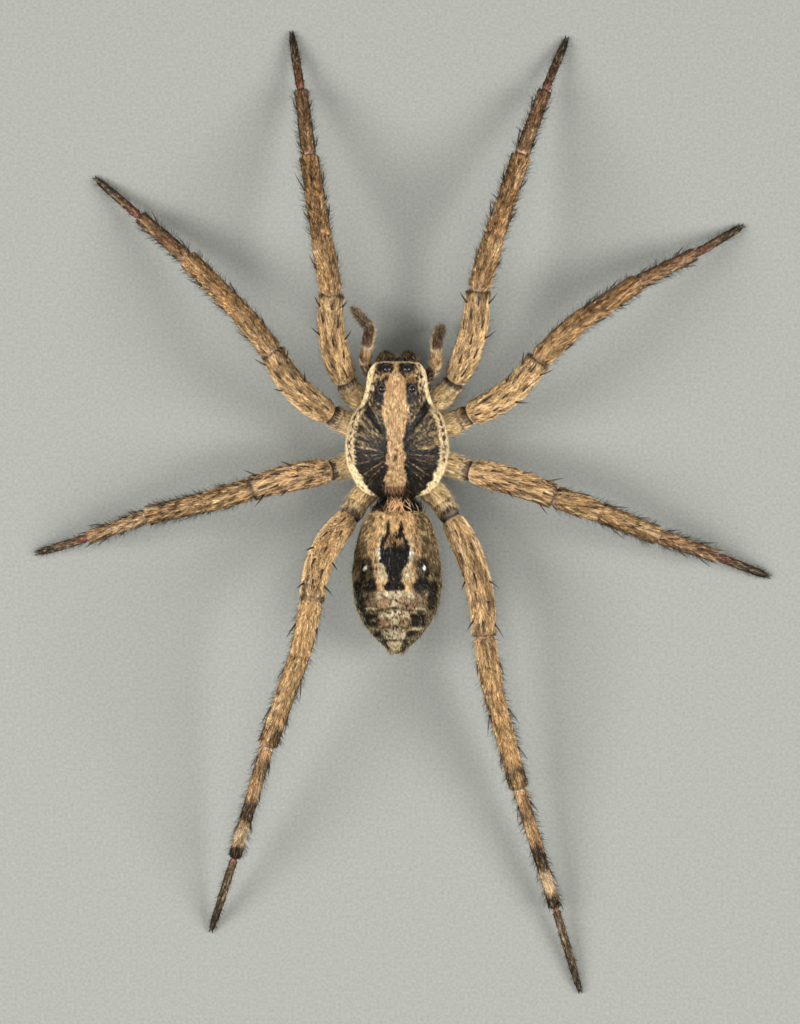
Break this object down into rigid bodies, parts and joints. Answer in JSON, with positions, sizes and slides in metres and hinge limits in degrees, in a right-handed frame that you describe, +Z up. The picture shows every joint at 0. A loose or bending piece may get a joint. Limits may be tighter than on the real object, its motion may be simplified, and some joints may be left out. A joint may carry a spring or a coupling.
{
  "type": "wolf spider",
  "caption": "Life-size wolf spider standing on the floor with its legs spread wide, a hairy striped carapace, a patterned oval abdomen and short palps.",
  "frame": {"origin": "on the floor, in the middle of the stance", "axes": "+Z up, -Y towards the spider's front, +X towards its own left; the hind and fore legs spread along Y"},
  "size_m": [0.0502, 0.0654, 0.01],
  "materials": {
    "carapace": "dark olive-brown cuticle under short hair",
    "abdomen": "soft brown skin under short hair",
    "pedicel": "bare brown cuticle",
    "spinneret": "hairy brown cuticle",
    "chelicera": "glossy dark brown cuticle with hairs",
    "fang": "polished black-brown",
    "palp": "tan cuticle with hairs",
    "eye": "wet black lens",
    "coxa": "pale yellowish cuticle with hairs",
    "femur": "tan cuticle under short hair",
    "patella": "brown cuticle under short hair",
    "tibia": "brown cuticle under short hair",
    "foot": "reddish-brown cuticle with dark bristles"
  },
  "bodies": {
    "root": {"cephalothorax": "carapace", "abdomen": "abdomen", "pedicel": "pedicel", "spinnerets": "spinneret", "chelicera_left": "chelicera", "chelicera_right": "chelicera", "fang_left": "fang", "fang_right": "fang", "palp_left": "palp", "palp_right": "palp", "eye_anterior_lateral_left": "eye", "eye_anterior_lateral_right": "eye", "eye_anterior_median_left": "eye", "eye_anterior_median_right": "eye", "eye_posterior_lateral_left": "eye", "eye_posterior_lateral_right": "eye", "eye_posterior_median_left": "eye", "eye_posterior_median_right": "eye", "leg1_coxa_left": "coxa", "leg1_coxa_right": "coxa", "leg1_femur_left": "femur", "leg1_femur_right": "femur", "leg1_patella_left": "patella", "leg1_patella_right": "patella", "leg1_tibia_left": "tibia", "leg1_tibia_right": "tibia", "leg1_foot_left": "foot", "leg1_foot_right": "foot", "leg2_coxa_left": "coxa", "leg2_coxa_right": "coxa", "leg2_femur_left": "femur", "leg2_femur_right": "femur", "leg2_patella_left": "patella", "leg2_patella_right": "patella", "leg2_tibia_left": "tibia", "leg2_tibia_right": "tibia", "leg2_foot_left": "foot", "leg2_foot_right": "foot", "leg3_coxa_left": "coxa", "leg3_coxa_right": "coxa", "leg3_femur_left": "femur", "leg3_femur_right": "femur", "leg3_patella_left": "patella", "leg3_patella_right": "patella", "leg3_tibia_left": "tibia", "leg3_tibia_right": "tibia", "leg3_foot_left": "foot", "leg3_foot_right": "foot", "leg4_coxa_left": "coxa", "leg4_coxa_right": "coxa", "leg4_femur_left": "femur", "leg4_femur_right": "femur", "leg4_patella_left": "patella", "leg4_patella_right": "patella", "leg4_tibia_left": "tibia", "leg4_tibia_right": "tibia", "leg4_foot_left": "foot", "leg4_foot_right": "foot"}
  },
  "joints": []
}
